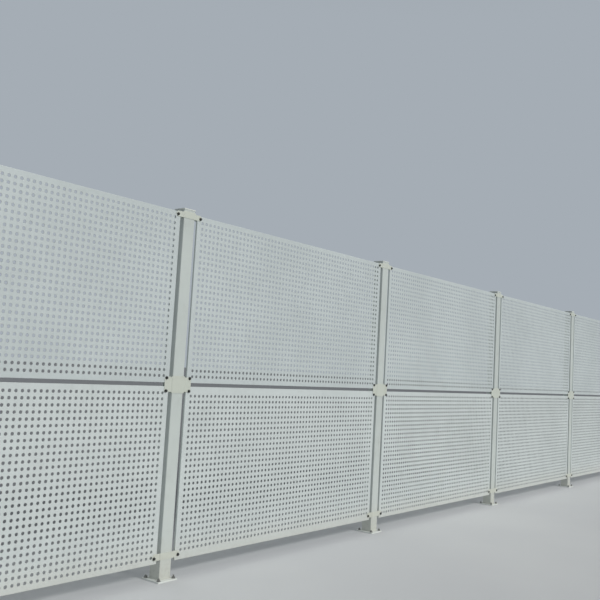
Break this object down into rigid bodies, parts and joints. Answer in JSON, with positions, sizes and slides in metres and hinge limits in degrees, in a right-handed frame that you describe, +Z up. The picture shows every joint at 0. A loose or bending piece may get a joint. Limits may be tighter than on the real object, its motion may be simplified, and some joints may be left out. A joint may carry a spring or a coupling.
{
  "type": "perforated metal hoarding",
  "caption": "Straight run of perforated metal hoarding: folded-edge sheet panels in an upper and a lower tier, clipped between square capped posts on bolt-down base plates.",
  "frame": {"origin": "underside of the first post's base plate, on the post's axis", "axes": "+X along the hoarding from the first post to the last, the clip side faces -Y, +Z up"},
  "size_m": [12.87, 0.17, 2.518],
  "materials": {
    "post_paint": "satin off-white paint",
    "panel_paint": "satin off-white paint on perforated sheet",
    "clip_paint": "satin off-white paint, slightly warmer",
    "fixings": "dull plated steel bolts, nuts and washers, in the visual model only"
  },
  "bodies": {
    "root": {"post_1": "post_paint", "base_plate_1": "post_paint", "post_cap_1": "post_paint", "clips_1": "clip_paint", "panel_lugs_1": "post_paint", "post_2": "post_paint", "base_plate_2": "post_paint", "post_cap_2": "post_paint", "clips_2": "clip_paint", "panel_lugs_2": "post_paint", "post_3": "post_paint", "base_plate_3": "post_paint", "post_cap_3": "post_paint", "clips_3": "clip_paint", "panel_lugs_3": "post_paint", "post_4": "post_paint", "base_plate_4": "post_paint", "post_cap_4": "post_paint", "clips_4": "clip_paint", "panel_lugs_4": "post_paint", "post_5": "post_paint", "base_plate_5": "post_paint", "post_cap_5": "post_paint", "clips_5": "clip_paint", "panel_lugs_5": "post_paint", "post_6": "post_paint", "base_plate_6": "post_paint", "post_cap_6": "post_paint", "clips_6": "clip_paint", "panel_lugs_6": "post_paint", "lower_panel_1": "panel_paint", "upper_panel_1": "panel_paint", "lower_panel_2": "panel_paint", "upper_panel_2": "panel_paint", "lower_panel_3": "panel_paint", "upper_panel_3": "panel_paint", "lower_panel_4": "panel_paint", "upper_panel_4": "panel_paint", "lower_panel_5": "panel_paint", "upper_panel_5": "panel_paint"}
  },
  "joints": []
}
